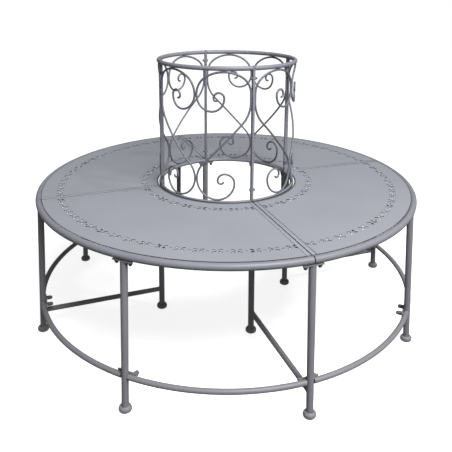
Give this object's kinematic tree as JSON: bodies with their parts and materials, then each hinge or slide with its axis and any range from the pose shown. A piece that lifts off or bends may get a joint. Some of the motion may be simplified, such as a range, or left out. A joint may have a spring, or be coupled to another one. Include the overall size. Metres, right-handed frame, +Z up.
{
  "type": "tree bench",
  "caption": "Round knock-down metal bench that stands round a tree trunk, with a perforated ring seat, a low scrollwork backrest, splayed tube legs and a lower ring.",
  "frame": {"origin": "centre of the trunk opening at floor level", "axes": "+Z up, +X and +Y along two neighbouring seams between the seat's quarters"},
  "size_m": [1.305, 1.305, 0.834],
  "materials": {
    "seat_coat": "satin powder coat",
    "frame_coat": "satin powder coat",
    "rod_coat": "satin powder coat",
    "leg_coat": "satin powder coat",
    "feet": "moulded, matte",
    "nuts": "satin",
    "studs": "zinc plated"
  },
  "bodies": {
    "root": {"seat_panel_1": "seat_coat", "seat_outer_rim_1": "frame_coat", "seat_inner_rim_1": "frame_coat", "seat_side_bars_1": "seat_coat", "backrest_top_rail_1": "frame_coat", "backrest_posts_1": "frame_coat", "backrest_scrolls_1": "rod_coat", "outer_leg_seam_1": "leg_coat", "outer_leg_mid_1": "leg_coat", "inner_leg_1": "leg_coat", "leg_stretcher_1": "leg_coat", "lower_ring_arcs_1": "leg_coat", "seat_panel_2": "seat_coat", "seat_outer_rim_2": "frame_coat", "seat_inner_rim_2": "frame_coat", "seat_side_bars_2": "seat_coat", "backrest_top_rail_2": "frame_coat", "backrest_posts_2": "frame_coat", "backrest_scrolls_2": "rod_coat", "outer_leg_seam_2": "leg_coat", "outer_leg_mid_2": "leg_coat", "inner_leg_2": "leg_coat", "leg_stretcher_2": "leg_coat", "lower_ring_arcs_2": "leg_coat", "seat_panel_3": "seat_coat", "seat_outer_rim_3": "frame_coat", "seat_inner_rim_3": "frame_coat", "seat_side_bars_3": "seat_coat", "backrest_top_rail_3": "frame_coat", "backrest_posts_3": "frame_coat", "backrest_scrolls_3": "rod_coat", "outer_leg_seam_3": "leg_coat", "outer_leg_mid_3": "leg_coat", "inner_leg_3": "leg_coat", "leg_stretcher_3": "leg_coat", "lower_ring_arcs_3": "leg_coat", "seat_panel_4": "seat_coat", "seat_outer_rim_4": "frame_coat", "seat_inner_rim_4": "frame_coat", "seat_side_bars_4": "seat_coat", "backrest_top_rail_4": "frame_coat", "backrest_posts_4": "frame_coat", "backrest_scrolls_4": "rod_coat", "outer_leg_seam_4": "leg_coat", "outer_leg_mid_4": "leg_coat", "inner_leg_4": "leg_coat", "leg_stretcher_4": "leg_coat", "lower_ring_arcs_4": "leg_coat", "seat_mid_bars": "frame_coat", "leg_feet": "feet", "leg_top_plates": "frame_coat", "ring_brackets": "leg_coat", "seat_studs": "studs", "ring_studs": "studs", "seat_cap_nuts": "nuts", "ring_cap_nuts": "nuts", "backrest_bolts": "nuts", "backrest_cap_nuts": "nuts"}
  },
  "joints": []
}
